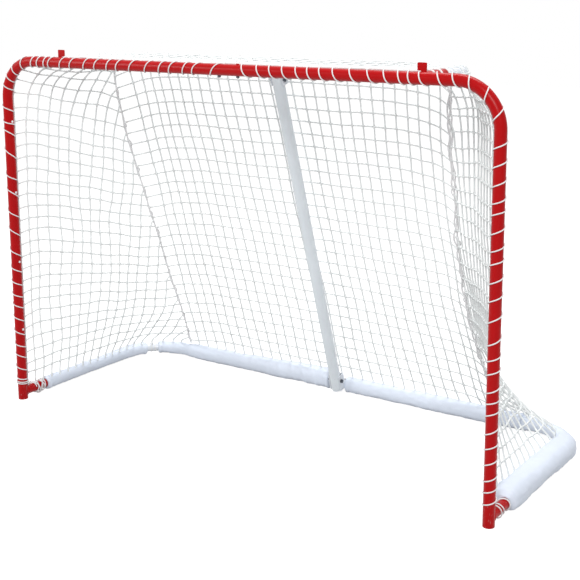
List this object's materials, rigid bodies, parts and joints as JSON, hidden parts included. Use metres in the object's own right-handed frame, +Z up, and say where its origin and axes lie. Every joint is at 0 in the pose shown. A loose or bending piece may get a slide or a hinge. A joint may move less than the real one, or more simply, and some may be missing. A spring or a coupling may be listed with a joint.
{
  "type": "hockey goal net",
  "caption": "Hockey goal: red tubular front frame with white base and shelf frames, centre bar, laced mesh net and padded base sleeves.",
  "frame": {"origin": "on the floor, midway between the two posts, in the vertical plane of the posts' axes", "axes": "+X to the goal's right as seen from in front of its mouth, +Y from the mouth towards the back, +Z up"},
  "size_m": [1.9245, 0.7826, 1.278],
  "materials": {
    "red_paint": "gloss powder coat",
    "white_paint": "gloss powder coat",
    "grey_paint": "satin powder coat",
    "zinc_steel": "zinc plated",
    "dark_steel": "black oxide",
    "black_plastic": "moulded",
    "white_plastic": "moulded",
    "nylon_tie": "moulded nylon",
    "net_twine": "knotless polyester twine",
    "lacing_cord": "white braided cord",
    "sleeve_cover": "white coated nylon over foam"
  },
  "bodies": {
    "root": {"left_frame_tube": "red_paint", "right_frame_tube": "red_paint", "crossbar_coupling": "zinc_steel", "crossbar_bolts": "red_paint", "crossbar_nuts": "dark_steel", "foot_plugs": "black_plastic", "left_base_stub": "red_paint", "right_base_stub": "red_paint", "left_shelf_stub": "red_paint", "right_shelf_stub": "red_paint", "left_shelf_tab": "red_paint", "right_shelf_tab": "red_paint", "left_base_tube": "white_paint", "right_base_tube": "white_paint", "base_side_couplings": "zinc_steel", "base_rear_coupling": "zinc_steel", "left_shelf_tube": "white_paint", "right_shelf_tube": "white_paint", "shelf_side_couplings": "zinc_steel", "shelf_rear_coupling": "zinc_steel", "joint_screws": "zinc_steel", "centre_bar": "grey_paint", "centre_bar_plugs": "white_plastic", "upper_bar_bracket": "white_paint", "lower_bar_bracket": "white_paint", "bracket_bolts": "dark_steel", "bracket_nuts": "dark_steel", "left_net_pegs": "white_plastic", "right_net_pegs": "white_plastic", "back_net": "net_twine", "shelf_net": "net_twine", "left_side_net": "net_twine", "right_side_net": "net_twine", "left_seam_cord": "lacing_cord", "right_seam_cord": "lacing_cord", "left_post_lacing": "lacing_cord", "right_post_lacing": "lacing_cord", "left_crossbar_lacing": "lacing_cord", "right_crossbar_lacing": "lacing_cord", "left_stub_lacing": "lacing_cord", "right_stub_lacing": "lacing_cord", "left_side_sleeve": "sleeve_cover", "left_rear_sleeve": "sleeve_cover", "right_rear_sleeve": "sleeve_cover", "right_side_sleeve": "sleeve_cover", "base_ties": "nylon_tie"}
  },
  "joints": []
}
